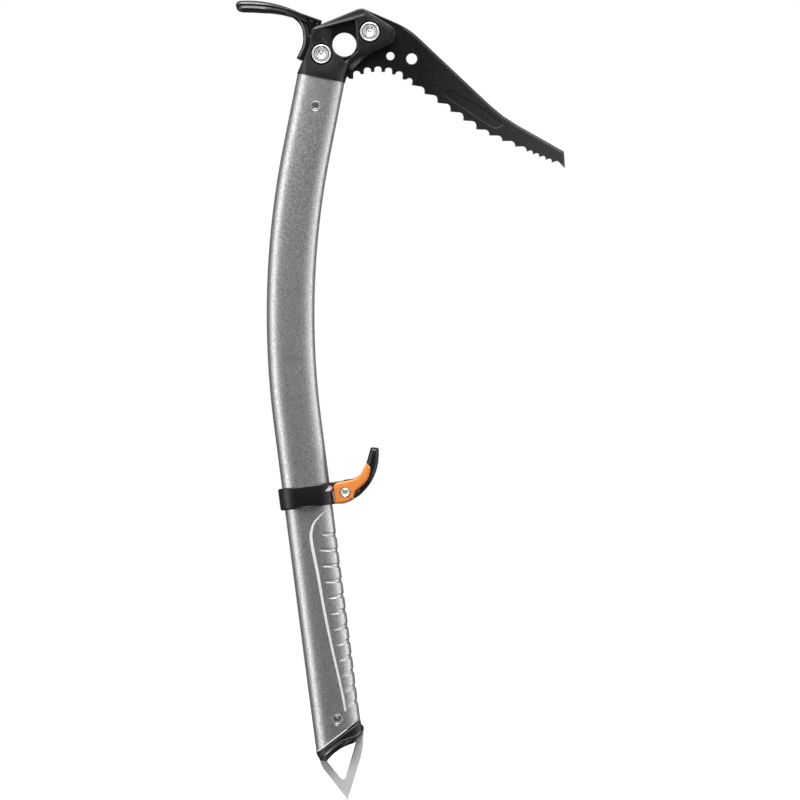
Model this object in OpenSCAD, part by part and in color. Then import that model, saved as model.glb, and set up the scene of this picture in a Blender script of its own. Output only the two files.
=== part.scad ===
// Technical ice axe: a bent oval tube with a forged modular head, a toothed pick, a dished adze,
// a spike with an eye, and a sliding hand rest clamped by a cam lever.
// Millimetres. +X points forward to the pick, +Z up the shaft, and the origin is the centre of
// the carabiner hole, halfway through the head's thickness.

/* [Shaft] */
// Depth of the oval tube, front to back
shaft_depth = 31.5; // [28:0.5:34]
// Width of the oval tube, side to side
shaft_width = 22; // [20:0.5:25]
// Wall of the tube
shaft_wall = 1.6; // [1.2:0.1:2.2]
// Radius of the bend, on the tube's centreline
bend_radius = 550; // [500:10:620]
// Lean of the straight under the head, from upright
head_tilt = 11.2; // [10:0.1:12]
// Lean of the grip, the other way
grip_tilt = 7.4; // [6.5:0.1:8]

/* [Grip] */
// Grooves across the front of the grip
groove_count = 12; // [4:1:12]
// Distance between grooves
groove_pitch = 9.95; // [8:0.05:10]
// Height of one groove
groove_height = 3.6; // [2:0.1:5]
// Depth of one groove
groove_depth = 0.6; // [0.3:0.1:1]

/* [Head] */
// Thickness of the head at its bolts
head_thick = 16; // [14:0.5:18]
// Radius of the carabiner hole
hole_radius = 7.9; // [6:0.1:8.5]
// Radius of a bolt's round head
bolt_head_radius = 6.3; // [5.5:0.1:7]
// Radius of a bolt's shank
bolt_radius = 4; // [3:0.5:4.5]

/* [Pick] */
// Thickness of the pick's plate
pick_thick = 4; // [3:0.5:5]
// Large teeth under the pick
large_teeth = 9; // [7:1:9]
// Small teeth at the pick's tip
small_teeth = 5; // [3:1:5]
// Finger notches near the shaft
notch_count = 6; // [4:1:6]

/* [Adze] */
// Half of the adze's width at its cutting edge
adze_half_width = 22; // [19:0.5:25]
// Thickness of the blade
adze_thick = 3.6; // [2.5:0.1:4]

/* [Spike] */
// Thickness of the spike's plate
spike_thick = 5; // [4:0.5:6]

/* [Hand rest] */
// Height of the band round the shaft
band_height = 14.4; // [10:0.2:16]
// Thickness of the band
band_thick = 2.5; // [1.5:0.1:3]
// Gap between the band and the tube
band_gap = 0.3; // [0.25:0.05:0.5]
// Radius of the barrel that the lever turns on
barrel_radius = 2.5; // [2.2:0.1:3]

/* [Hidden] */
$fn = 64;

arc_step = 12;         // degrees between the points of a rounded corner
oval_points = 44;      // points round the tube's section
oval_power = 2.4;      // 2 is an ellipse, and more is fuller
slack = 0.05;          // room between pieces that are fixed together
running = 0.3;         // room between pieces that move past each other
far = 60;              // reach of a cutting shape past what it cuts

// Shaft: the bend's leftmost point, and where each straight begins
bend_apex = [-35.4, -177.3];
bend_centre = bend_apex + [bend_radius, 0];
neck_start = bend_centre + bend_radius * [-cos(head_tilt), sin(head_tilt)];
grip_start = bend_centre + bend_radius * [-cos(grip_tilt), -sin(grip_tilt)];
half_depth = shaft_depth / 2;
half_width = shaft_width / 2;
neck_length = 49.4;    // straight tube above the bend, up to the head's collar
collar_height = 8;     // oval foot of the head block
tang_length = 36;      // head block's tang down inside the tube
cut_distance = 208.6;  // from the bend to the slanted end, on the grip's axis
cut_slant = 29.7;      // slant of the tube's lower end
first_groove = 77.2;   // from the bend to the first groove's middle
joint = 1;             // how far each straight runs into the bend
seam = 0.02;           // and how much fuller the bend's section is there

// Head
front_bolt_at = [16.7, 8.3];
rear_bolt_at = [-15.1, -6.4];
counterbore = 1;       // ring of room round a bolt's head
bolt_head_thick = 2.4;
bolt_proud = 0.3;      // how far a bolt's head stands out of the head block
pocket_depth = 3;
boss_radius = 10.3;    // web round the carabiner hole that parts the two slots
hex_radius = 2.9;      // socket in a bolt, centre to corner
rivet_radius = 4;
head_rivet_at = [-18.9, -41];
spike_rivet_at = [-4.7, -444];

// Pick: teeth hang from a line with one knee, and the finger notches from an arch
tip_start = [44.2, -26.6];
tip_knee = [88, -56.6];
pick_tip = [145.2, -81.3];
large_pitch = 8.51;
small_start = 119.9;
small_pitch = 4.15;
arch_apex = [21.8, -17.8];
arch_radius = 33;
notch_start = 8.2;
notch_pitch = 6.95;
notch_rise = 3.4;

// Adze: the blade is a piece of a wide ring, dished across
blade_centre = [-64, -51];
blade_radius = 80;
dish_radius = 66;
root_width = 16;

// Hand rest, in distances down the grip from the bend and forward from its axis
band_top = 42.3;
pivot_at = [25.2, -50.1];
ear_inner = 3.9;
ear_outer = 5.9;
cheek_inner = ear_outer + running;
cheek_outer = 8.4;
lever_swing = 50;
sweep_radius = 8.1;    // clear of the ears' round ends
heel_sweep = 9.3;      // clear of the cheeks' upper heels as the lever swings
screw_head_radius = 3.1;
screw_head_thick = 1.2;
screw_radius = 1.7;

// ---- outlines ----

function unit(v) = v / norm(v);

// One corner [x, y, radius], between its neighbours p and n, as the points of an arc
function corner(p, q, n) =
    let (
        at = [q[0], q[1]],
        radius = len(q) > 2 ? q[2] : 0,
        back = unit([p[0], p[1]] - at),
        on = unit([n[0], n[1]] - at),
        half = acos(back * on) / 2,
        centre = at + unit(back + on) * radius / sin(half),
        first = at + back * radius / tan(half) - centre,
        last = at + on * radius / tan(half) - centre,
        from = atan2(first[1], first[0]),
        turn = (atan2(last[1], last[0]) - from + 900) % 360 - 180,
        steps = max(1, ceil(abs(turn) / arc_step))
    )
    radius == 0
        ? [at]
        : [for (i = [0:steps]) let (a = from + turn * i / steps) centre + radius * [cos(a), sin(a)]];

function rounded(points) =
    let (n = len(points))
    [for (i = [0:n - 1]) each corner(points[(i + n - 1) % n], points[i], points[(i + 1) % n])];

function arc(radius, from, to, steps = 12) =
    [for (i = [0:steps]) let (a = from + (to - from) * i / steps) radius * [cos(a), sin(a)]];

// The tube's section, grown or shrunk by a distance
function oval(grow = 0) =
    [for (i = [0:oval_points - 1])
        let (a = 360 * i / oval_points)
        [(half_depth + grow) * sign(cos(a)) * pow(abs(cos(a)), 2 / oval_power),
         (half_width + grow) * sign(sin(a)) * pow(abs(sin(a)), 2 / oval_power)]];

function slope(a, b) = (b[1] - a[1]) / (b[0] - a[0]);

// Height of the line that the teeth's tips lie on
function tip_height(x) =
    x < tip_knee[0]
        ? tip_start[1] + slope(tip_start, tip_knee) * (x - tip_start[0])
        : tip_knee[1] + slope(tip_knee, pick_tip) * (x - tip_knee[0]);

function arch_height(x) =
    arch_apex[1] - arch_radius + sqrt(pow(arch_radius, 2) - pow(x - arch_apex[0], 2));

function large_x(i) = tip_start[0] + large_pitch * i;
function small_x(i) = small_start + small_pitch * i;
function notch_x(i) = notch_start + notch_pitch * i;

// From the pick's tip back to the shaft: small teeth, large teeth, finger notches
function small_edge() = [
    for (i = [small_teeth - 1:-1:0])
        let (tip = tip_height(small_x(i)))
        each [[small_x(i + 1) - 0.4, tip + 1.2, 1.3], [small_x(i), tip]]
];
function large_edge() = [
    for (i = [large_teeth - 1:-1:0])
        let (tip = tip_height(large_x(i)), next = i == large_teeth - 1 ? small_x(0) : large_x(i + 1))
        each [[next, tip - 1.3 + 0.2 * i, 2.9], [large_x(i), tip]]
];
function notch_edge() = [
    for (i = [notch_count - 1:-1:0])
        let (x = notch_x(i), top = arch_height(x) + notch_rise, tooth = x - notch_pitch / 2)
        each [[x + 2.3, top, 1.9], [x - 2.3, top, 1.9],
              [tooth + 1.2, arch_height(tooth), 0.5], [tooth - 1.2, arch_height(tooth), 0.5]]
];

function pick_outline() = concat(
    [[42.3, 10.7, 45], [103.7, -47.2, 90], [144.5, -70.3, 0.6], pick_tip],
    small_edge(), large_edge(), notch_edge(),
    [[1.4, -20.6], [-3, -19.7, 2]],
    arc(boss_radius + slack, -100, 66),
    [[6.5, 21.9], [11.8, 24.1, 3]]
);

function head_outline() = [
    [-31.5, -20], [-24.3, -3, 40], [-21.3, 10.9, 5], [11.4, 24.2, 5], [34.8, 9.7, 6],
    [31.6, 0.6, 3], [16.5, -6.6, 20], [1.4, -21.2, 6], [0.4, -26]
];

function pocket_outline() = [
    [-15.2, 9.2, 2.5], [7.3, 16.8, 2], [10.2, -4.9, 2], [0.8, -13, 3], [-15, 3.6, 2]
];

function root_outline() = [
    [-40, 24.9], [-14.6, 15.7, 0.6], [-15.6, 13.4, 0.6], [-21.5, 11, 4.9], [-24.5, -2.9, 40],
    [-28, -10.7, 0.5], [-31.4, -9.1, 0.5], [-26.6, 1, 16], [-28, 13, 12], [-40, 22.6]
];

function spike_outline() = [
    [2.3, -497, 0.5], [11.7, -465, 40], [12.9, -448], [-3, -452], [-17.4, -467], [-15, -475, 12]
];

function eye_outline() = [[8.3, -456.5, 1.5], [-0.3, -484.9, 1.6], [-13.5, -468.8, 1.5]];

function ferrule_outline() = [
    [10.4, -443.4], [11.3, -447.3, 0.5], [13.2, -448.6, 1], [12.4, -451.9, 2], [6.3, -459.4, 1.2],
    [-4.6, -462.8, 30], [-11.3, -471.2, 0.8], [-16.1, -470.5, 1.5], [-18.1, -467.2, 0.8], [-18.6, -465.5]
];

// Lever outlines, about its pivot and square to the row's axes
function cheek_outline() = [
    [-8.1, 5.8, 3.5], [-6.8, -7.5, 0.8], [0.4, -7, 9], [5.9, -4, 0.9], [6.7, 0.2, 0.8],
    [15.4, 7.6, 14], [17.1, 16.5, 0.8], [13.9, 19.4, 0.5], [9.2, 9.4, 12]
];

function hook_outline() = [
    [4.4, 8.9], [9, 9.7, 10], [13.9, 19.4, 20], [16.8, 29.8, 1.4], [22.1, 29.3, 1.4],
    [22, 9.5, 34], [5.4, -4.6, 0.4]
];

function cam_outline() = [
    [-7, 3.7, 5], [-6, -7.1, 1], [3, -6, 4], [11, 2, 6], [10, 9.8, 2], [4.4, 9], [-1, 8.2, 0.8]
];

// ---- helpers ----

// A flat plate in the XZ plane, centred on the mid plane or from y = low to high
module plate(outline, thick) {
    rotate([90, 0, 0]) translate([0, 0, -thick / 2]) linear_extrude(thick) polygon(outline);
}

module layer(outline, low, high) {
    rotate([90, 0, 0]) translate([0, 0, -high]) linear_extrude(high - low) polygon(outline);
}

// A round bar along Y, from y = low to high
module bar(at, radius, low, high) {
    translate([at[0], low, at[1]]) rotate([-90, 0, 0]) cylinder(r = radius, h = high - low);
}

// Frames of the two straights: local X points forward, local Z up the tube
module on_neck() {
    translate([neck_start[0], 0, neck_start[1]]) rotate([0, head_tilt, 0]) children();
}

module on_grip() {
    translate([grip_start[0], 0, grip_start[1]]) rotate([0, -grip_tilt, 0]) children();
}

module at_pivot() {
    on_grip() translate([pivot_at[0], 0, pivot_at[1]]) rotate([0, grip_tilt, 0]) children();
}

// Everything below the slanted end of the tube
module below_cut(lift = 0) {
    on_grip() translate([0, 0, -cut_distance]) rotate([0, -cut_slant, 0])
        translate([-far, -far, lift - 2 * far]) cube([2 * far, 2 * far, 2 * far]);
}

// ---- shaft ----

module tube_section(grow = 0) {
    difference() {
        polygon(oval(grow));
        polygon(oval(-shaft_wall - grow));
    }
}

module groove(index) {
    reach = 3.2 + 0.55 * index;
    translate([0, 0, -first_groove - groove_pitch * index - groove_height / 2])
        linear_extrude(groove_height) difference() {
            translate([reach, -half_width - 1]) square([shaft_depth, shaft_width + 2]);
            polygon(oval(-groove_depth));
        }
}

module shaft_tube() color("silver") difference() {
    union() {
        on_neck() translate([0, 0, -joint]) linear_extrude(neck_length + joint) tube_section();
        translate([bend_centre[0], 0, bend_centre[1]]) rotate([90, 0, 0])
            rotate([0, 0, 180 - head_tilt]) rotate_extrude(angle = head_tilt + grip_tilt, $fn = 360)
                translate([bend_radius, 0]) tube_section(seam);
        on_grip() translate([0, 0, -cut_distance - 20])
            linear_extrude(cut_distance + 20 + joint) tube_section();
    }
    on_grip() for (i = [0:groove_count - 1]) groove(i);
    below_cut();
    for (at = [head_rivet_at, spike_rivet_at]) bar(at, rivet_radius + slack, -far, far);
}

// ---- head ----

module bolt_seat(at) {
    seat = head_thick / 2 + bolt_proud - bolt_head_thick;
    bar(at, bolt_radius + slack, -far, far);
    for (side = [-1, 1])
        bar(at, bolt_head_radius + counterbore, side > 0 ? seat : -far, side > 0 ? far : -seat);
}

// Room for the pick in front of the carabiner hole's web, and for the adze's tang behind it
module head_slots() {
    slot = pick_thick + 2 * slack;
    plate(concat(arc(boss_radius, 66, -100),
                 [[-3.2, -19.6], [3, -26], [60, -26], [60, 40], [6.3, 40]]), slot);
    plate(concat([[-8.5, 40], [-40, 40], [-40, -13.6], [-9, -17.6]],
                 arc(boss_radius, 222, 158)), slot);
}

module head_block() color("#2b2b2d") difference() {
    union() {
        intersection() {
            plate(rounded(head_outline()), head_thick);
            on_neck() translate([-far, -far, neck_length]) cube([2 * far, 2 * far, 2 * far]);
        }
        intersection() {
            plate(rounded(head_outline()), shaft_width + 2);
            on_neck() translate([0, 0, neck_length]) linear_extrude(collar_height) polygon(oval());
        }
        on_neck() translate([0, 0, neck_length - tang_length])
            linear_extrude(tang_length) polygon(oval(-shaft_wall - slack));
    }
    bar([0, 0], hole_radius, -far, far);
    floor = head_thick / 2 - pocket_depth;
    for (side = [-1, 1])
        layer(rounded(pocket_outline()), side > 0 ? floor : -far, side > 0 ? far : -floor);
    head_slots();
    bolt_seat(front_bolt_at);
    bolt_seat(rear_bolt_at);
    bar(head_rivet_at, rivet_radius + slack, -far, far);
}

module pick() color("#1d1d1f") difference() {
    plate(rounded(pick_outline()), pick_thick);
    bar(front_bolt_at, bolt_radius + slack, -far, far);
    bar([30.3, -7.5], 2.65, -far, far);
    bar([44.3, -9.3], 3.55, -far, far);
}

// The blade's plan: a bowed cutting edge, flaring out from the root
module blade_plan() {
    edge_radius = 200;
    translate([0, 0, -far]) linear_extrude(2 * far) intersection() {
        translate([edge_radius - 71.5, 0]) circle(r = edge_radius, $fn = 240);
        polygon(rounded([
            [-80, adze_half_width], [-67, adze_half_width, 4], [-54, adze_half_width - 0.6, 20],
            [-38, 15, 15], [-27, 8], [-27, -8], [-38, -15, 15],
            [-54, 0.6 - adze_half_width, 20], [-67, -adze_half_width, 4], [-80, -adze_half_width]
        ]));
    }
}

module dished_ring() {
    translate([blade_centre[0], 0, blade_centre[1]]) rotate([90, 0, 0]) rotate([0, 0, 58])
        rotate_extrude(angle = 42, $fn = 240) intersection() {
            translate([blade_radius - dish_radius, 0]) difference() {
                circle(r = dish_radius, $fn = 240);
                circle(r = dish_radius - adze_thick, $fn = 240);
            }
            translate([blade_radius / 2, -adze_half_width - 5])
                square([blade_radius, 2 * adze_half_width + 10]);
        }
}

module adze() color("#1d1d1f") difference() {
    union() {
        intersection() {
            dished_ring();
            blade_plan();
        }
        plate(rounded(root_outline()), root_width);
        plate(concat([[-21.5, 10.4], [-26.3, -9.5], [-21, -15.4], [-9.2, -17.2]],
                     arc(boss_radius + slack, 222, 158), [[-9, 10.4]]), pick_thick);
    }
    bar(rear_bolt_at, bolt_radius + slack, -far, far);
}

// A bolt from the near side, with its nut's thin round head on the far side
module head_bolt(at) color("gainsboro") {
    face = head_thick / 2 + bolt_proud;
    difference() {
        union() {
            bar(at, bolt_head_radius, -face, bolt_head_thick - face);
            bar(at, bolt_radius, bolt_head_thick - face, face - 0.6);
        }
        translate([at[0], -face, at[1]]) rotate([90, 0, 0])
            cylinder(r = hex_radius, h = 4, center = true, $fn = 6);
    }
}

module head_nut(at) color("gainsboro") {
    face = head_thick / 2 + bolt_proud;
    difference() {
        bar(at, bolt_head_radius, face - bolt_head_thick, face);
        bar(at, bolt_radius + slack, 0, far);
    }
}

module rivet(at, width) color("darkgray") difference() {
    bar(at, rivet_radius, -width / 2, width / 2);
    for (side = [-1, 1]) translate([at[0], side * (width / 2 + 0.8), at[1]]) sphere(r = 2.4);
}

module front_bolt() head_bolt(front_bolt_at);
module front_nut() head_nut(front_bolt_at);
module rear_bolt() head_bolt(rear_bolt_at);
module rear_nut() head_nut(rear_bolt_at);
module head_rivet() rivet(head_rivet_at, shaft_width - 0.4);
module spike_rivet() rivet(spike_rivet_at, shaft_width - 0.4);

// ---- foot ----

module spike_body(room = 0) {
    difference() {
        plate(rounded(spike_outline()), spike_thick + 2 * room);
        plate(rounded(eye_outline()), spike_thick + 1);
    }
    on_grip() translate([-7 - room, -spike_thick / 2 - room, -cut_distance - 4])
        cube([14 + 2 * room, spike_thick + 2 * room, 26 + room]);
}

module spike() color("lightgray") difference() {
    spike_body();
    bar(spike_rivet_at, rivet_radius + slack, -far, far);
}

module spike_ferrule() color("#232325") difference() {
    union() {
        intersection() {
            plate(rounded(ferrule_outline()), shaft_width + 4);
            on_grip() translate([0.6, 0, -cut_distance - 20]) linear_extrude(40) polygon(oval(1.2));
            below_cut();
        }
        difference() {
            on_grip() translate([0, 0, -cut_distance - 14]) linear_extrude(36)
                polygon(oval(-shaft_wall - slack));
            below_cut(-0.5);
        }
    }
    spike_body(slack);
    bar(spike_rivet_at, rivet_radius + slack, -far, far);
}

// ---- hand rest ----

module band_ring() {
    translate([0, 0, -band_top - band_height]) linear_extrude(band_height)
        polygon(oval(band_gap + band_thick));
}

function ear_outline() = [
    [12, -band_top - 0.2], [32, -band_top - 0.2, 6.5],
    [32, -band_top - band_height + 0.4, 6.5], [12, -band_top - band_height + 0.4]
];

module rest_band() color("#232325") on_grip() difference() {
    union() {
        band_ring();
        for (low = [-ear_outer, ear_inner])
            layer(rounded(ear_outline()), low, low + ear_outer - ear_inner);
    }
    translate([0, 0, -band_top - band_height - 1]) linear_extrude(band_height + 2)
        polygon(oval(band_gap));
    translate([0, -ear_inner, -band_top - band_height - 1]) cube([far, 2 * ear_inner, band_height + 2]);
    bar(pivot_at, barrel_radius + slack, -far, far);
    for (side = [-1, 1]) bar(pivot_at, heel_sweep, side > 0 ? ear_outer : -far, side > 0 ? far : -ear_outer);
}

// The pad between the cam and the tube
module rest_shoe() color("#c9c3cf") on_grip() difference() {
    translate([half_depth - 2, 0.2 - ear_inner, -band_top - band_height + 0.8])
        cube([4.1, 2 * ear_inner - 0.4, band_height - 1.6]);
    translate([0, 0, -band_top - band_height]) linear_extrude(band_height) polygon(oval(band_gap));
}

// What the ears sweep through, seen from the lever, over its whole swing
module ear_sweep() {
    for (side = [-1, 1]) {
        low = side > 0 ? ear_inner - running : -cheek_inner;
        bar([0, 0], sweep_radius, low, low + cheek_inner - ear_inner + running);
        rotate([0, -(90 - lever_swing) - grip_tilt, 0])
            translate([-far, low, 0]) cube([far + sweep_radius, cheek_inner - ear_inner + running, far]);
    }
}

module cheek(low) color("#f08a3c") at_pivot() difference() {
    layer(rounded(cheek_outline()), low, low + cheek_outer - cheek_inner);
    bar([0, 0], barrel_radius + slack, -far, far);
    bar([0, 0], screw_head_radius + slack, cheek_outer - screw_head_thick, far);
    bar([0, 0], screw_head_radius + slack, -far, screw_head_thick - cheek_outer);
}

module lever_cheek_near() cheek(-cheek_outer);
module lever_cheek_far() cheek(cheek_inner);

module lever_core() color("#232325") at_pivot() difference() {
    union() {
        plate(rounded(cam_outline()), 2 * (ear_inner - running));
        difference() {
            plate(rounded(hook_outline()), 2 * cheek_outer);
            for (low = [-cheek_outer - 1, cheek_inner])
                layer(rounded(cheek_outline()), low, low + cheek_outer - cheek_inner + 1);
            ear_sweep();
        }
    }
    bar([0, 0], barrel_radius + slack, -far, far);
}

module rest_screw() color("gainsboro") at_pivot() difference() {
    union() {
        bar([0, 0], screw_head_radius, -cheek_outer, screw_head_thick - cheek_outer);
        bar([0, 0], screw_radius, screw_head_thick - cheek_outer, 5);
    }
    translate([0, -cheek_outer, 0]) rotate([90, 0, 0]) cylinder(r = 1.8, h = 1.6, center = true, $fn = 6);
}

// A barrel nut: its sleeve is the axle that the ears turn on
module rest_nut() color("gainsboro") at_pivot() difference() {
    union() {
        bar([0, 0], screw_head_radius, cheek_outer - screw_head_thick, cheek_outer);
        bar([0, 0], barrel_radius, screw_head_thick - cheek_outer, cheek_outer - screw_head_thick);
    }
    bar([0, 0], screw_radius + slack, -far, 5 + slack);
}

shaft_tube();
head_block();
pick();
adze();
front_bolt();
front_nut();
rear_bolt();
rear_nut();
head_rivet();
spike();
spike_ferrule();
spike_rivet();
rest_band();
rest_shoe();
lever_core();
lever_cheek_near();
lever_cheek_far();
rest_screw();
rest_nut();
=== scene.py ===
"""Looks of the ice axe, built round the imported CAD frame.

Shapes are worked out in millimetres, in the CAD frame: +X forward to the pick, +Z up the shaft,
-Y towards the camera, and the origin at the centre of the carabiner hole.
"""

import math

import bmesh
import bpy
import numpy as np
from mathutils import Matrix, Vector
from mathutils.geometry import delaunay_2d_cdt


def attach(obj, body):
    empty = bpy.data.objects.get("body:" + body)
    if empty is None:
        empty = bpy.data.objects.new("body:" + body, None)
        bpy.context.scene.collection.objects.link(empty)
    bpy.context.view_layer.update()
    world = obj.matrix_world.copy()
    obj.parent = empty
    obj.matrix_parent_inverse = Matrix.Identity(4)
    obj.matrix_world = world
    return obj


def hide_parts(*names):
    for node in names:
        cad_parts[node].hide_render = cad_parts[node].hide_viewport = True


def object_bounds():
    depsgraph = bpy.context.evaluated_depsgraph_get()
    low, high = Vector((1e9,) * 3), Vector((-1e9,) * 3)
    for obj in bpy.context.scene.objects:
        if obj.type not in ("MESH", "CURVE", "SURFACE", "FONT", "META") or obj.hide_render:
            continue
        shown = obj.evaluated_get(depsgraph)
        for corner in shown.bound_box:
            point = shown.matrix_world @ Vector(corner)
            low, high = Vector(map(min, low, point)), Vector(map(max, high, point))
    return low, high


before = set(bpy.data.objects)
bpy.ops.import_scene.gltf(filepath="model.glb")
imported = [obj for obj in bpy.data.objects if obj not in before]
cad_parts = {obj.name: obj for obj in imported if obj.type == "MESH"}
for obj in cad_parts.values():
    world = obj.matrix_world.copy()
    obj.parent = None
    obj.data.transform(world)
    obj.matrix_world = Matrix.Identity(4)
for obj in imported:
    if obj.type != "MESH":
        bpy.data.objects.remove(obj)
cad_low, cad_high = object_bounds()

MM = 0.001

# Shaft, as in the CAD
HALF_DEPTH = 15.75
HALF_WIDTH = 11.0
WALL = 1.6
OVAL_POWER = 2.4
BEND_RADIUS = 550.0
BEND_APEX = np.array([-35.4, -177.3])
HEAD_TILT = math.radians(11.2)
GRIP_TILT = math.radians(7.4)
NECK_LENGTH = 49.4
CUT_DISTANCE = 208.6
CUT_SLOPE = math.tan(math.radians(29.7))
RIM_HEIGHT = 0.9           # of the painted highlight along the tube's cut end
CUT_CHAMFER = 0.1
BEND_CENTRE = BEND_APEX + [BEND_RADIUS, 0]
NECK_START = BEND_CENTRE + BEND_RADIUS * np.array([-math.cos(HEAD_TILT), math.sin(HEAD_TILT)])
GRIP_START = BEND_CENTRE + BEND_RADIUS * np.array([-math.cos(GRIP_TILT), -math.sin(GRIP_TILT)])

# Grooves of the grip, measured down it from the bend
GROOVES = 12
FIRST_GROOVE = 77.2
GROOVE_PITCH = 9.95
GROOVE_HALF = (0.9, 1.8)   # half height at the inner end, and at the front
GROOVE_DEPTH = (0.22, 0.6)
GROOVE_ENDS = (6.2, 3.0)   # how far forward the first groove's end is, and the second's
GROOVE_END_STEP = 0.58     # forward for each groove after that
GROOVE_SLANT = (0.24, -0.065)  # of the first groove, and more for each after it
GROOVE_EDGE = 0.9          # width of the soft edge

# Head
HEAD_HALF = 8.0
HOLE_RADIUS = 7.9
FRONT_BOLT = (16.7, 8.3)
REAR_BOLT = (-15.1, -6.4)
BOLT_HEAD = 6.3
BOLT_SHANK = 4.0
BOLT_THICK = 2.4
BOLT_FACE = HEAD_HALF + 0.3
SEAT_RADIUS = 7.3
POCKET_DEPTH = 3.0
HEAD_RIVET = (-18.9, -41.0)
SPIKE_RIVET = (-4.7, -444.0)
RIVET_RADIUS = 4.0
PICK_HALF = 2.0
SEAM_GAP = 0.15            # beside the tangs in the head's slots

# Hand rest, in distances down the grip from the bend and forward from its axis
BAND_TOP = 42.3
BAND_HEIGHT = 14.4
BAND_THICK = 2.5
BAND_GAP = 0.3
EAR_INNER = 3.9
EAR_OUTER = 5.9
EAR_END = 32.0
EAR_ROUND = 6.5            # length of an ear's rounded end
EAR_NARROWS = 11.2         # how much less high an ear is at its very end
PIVOT = np.array([25.2, -50.1])
CHEEK_INNER = 6.2
CHEEK_ROOM = 6.0           # from the mid plane, cleared for the cheeks' swing
HEEL_SWEEP = 9.3           # how far the cheeks' upper heels reach from the pivot
CHEEK_OUTER = 8.4
SCREW_RADIUS = 3.1
FAR = 20.0                 # from the mid plane, beyond every part


# ---- outlines ----

def unit(v):
    return v / np.linalg.norm(v)


def unit_rows(v):
    return v / np.linalg.norm(v, axis=1)[:, None]


def rounded(points, degrees=8):
    """Points of an outline whose corners (x, z, radius) are turned into arcs."""
    out = []
    for i, spot in enumerate(points):
        at = np.array(spot[:2], float)
        radius = spot[2] if len(spot) > 2 else 0
        if radius == 0:
            out.append(at)
            continue
        back = unit(np.array(points[i - 1][:2], float) - at)
        on = unit(np.array(points[(i + 1) % len(points)][:2], float) - at)
        half = math.acos(np.clip(back @ on, -1, 1)) / 2
        centre = at + unit(back + on) * radius / math.sin(half)
        first = at + back * radius / math.tan(half) - centre
        last = at + on * radius / math.tan(half) - centre
        start = math.atan2(first[1], first[0])
        turn = (math.atan2(last[1], last[0]) - start + 3 * math.pi) % (2 * math.pi) - math.pi
        steps = max(2, math.ceil(abs(math.degrees(turn)) / degrees))
        out += [centre + radius * polar(start + turn * k / steps) for k in range(steps + 1)]
    return np.array(out)


def polar(angle):
    return np.array([math.cos(angle), math.sin(angle)])


def circle(at, radius, count=64):
    return np.array([np.array(at) + radius * polar(2 * math.pi * k / count) for k in range(count)])


def arc(at, radius, start, stop, count=12):
    """An arc between two angles in degrees."""
    angles = np.radians(np.linspace(start, stop, count))
    return [tuple(np.array(at) + radius * polar(a)) for a in angles]


def divide(chain, gap, closed=True):
    """The chain with points added, so that no step is longer than gap."""
    chain = np.asarray(chain, float)
    following = np.roll(chain, -1, axis=0) if closed else chain[1:]
    out = []
    for a, b in zip(chain, following):
        count = max(1, math.ceil(np.linalg.norm(b - a) / gap))
        out += [a + (b - a) * k / count for k in range(count)]
    if not closed:
        out.append(chain[-1])
    return np.array(out)


def smooth_line(points, count):
    """A Catmull-Rom curve through points, with count steps between each two."""
    p = np.asarray(points, float)
    p = np.vstack([2 * p[0] - p[1], p, 2 * p[-1] - p[-2]])
    out = []
    for i in range(1, len(p) - 2):
        for t in np.arange(count) / count:
            out.append(0.5 * (2 * p[i] + (p[i + 1] - p[i - 1]) * t
                              + (2 * p[i - 1] - 5 * p[i] + 4 * p[i + 1] - p[i + 2]) * t ** 2
                              + (3 * p[i] - p[i - 1] - 3 * p[i + 1] + p[i + 2]) * t ** 3))
    return np.array(out + [p[-2]])


def looped(loop):
    """A loop that ends with its first point."""
    return np.vstack([loop, loop[:1]])


def ends(loops):
    """The first and last points of every edge of closed loops."""
    return np.vstack(loops), np.vstack([np.roll(loop, -1, axis=0) for loop in loops])


BLOCK = 2000               # points measured at once, to keep the arrays small


def in_blocks(points, work):
    """The results of work, a function of points, done block by block."""
    starts = range(0, len(points), BLOCK)
    return np.concatenate([work(points[start:start + BLOCK, None]) for start in starts])


def distance(points, a, b):
    """Distance of each point from the nearest of the segments a to b."""
    along = b - a
    square = np.maximum((along ** 2).sum(1), 1e-12)

    def nearest(p):
        t = np.clip(((p - a) * along).sum(2) / square, 0, 1)
        return np.linalg.norm(p - a - t[..., None] * along, axis=2).min(1)

    return in_blocks(points, nearest)


def line_distance(points, chain):
    chain = np.asarray(chain, float)
    return distance(np.asarray(points, float), chain[:-1], chain[1:])


def inside(points, a, b):
    """Whether each point is inside closed loops with the edges a to b, by the even-odd rule."""
    rise = np.where(b[:, 1] == a[:, 1], 1, b[:, 1] - a[:, 1])

    def odd(p):
        spans = (a[:, 1] > p[..., 1]) != (b[:, 1] > p[..., 1])
        left = p[..., 0] < a[:, 0] + (b[:, 0] - a[:, 0]) * (p[..., 1] - a[:, 1]) / rise
        return (spans & left).sum(1) % 2 == 1

    return in_blocks(points, odd)


def depth_inside(points, loop):
    """Distance of points from a closed loop, negative outside it."""
    a, b = ends([loop])
    return np.where(inside(points, a, b), 1, -1) * distance(points, a, b)


def leftward(a, b):
    """The unit vector to the left of the line from a to b."""
    return unit(np.array([a[1] - b[1], b[0] - a[0]]))


def beyond(points, a, b):
    """Signed distance of points to the left of the line from a to b."""
    return (points - a) @ leftward(a, b)


def step(value):
    """Smooth step from 0 to 1."""
    t = np.clip(value, 0, 1)
    return t * t * (3 - 2 * t)


def round_drop(d, radius):
    """How far a face falls at distance d from an edge rounded by radius."""
    t = np.clip(radius - d, 0, radius)
    return radius - np.sqrt(radius ** 2 - t ** 2)


# ---- closed shells: (points, faces) ----

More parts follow.
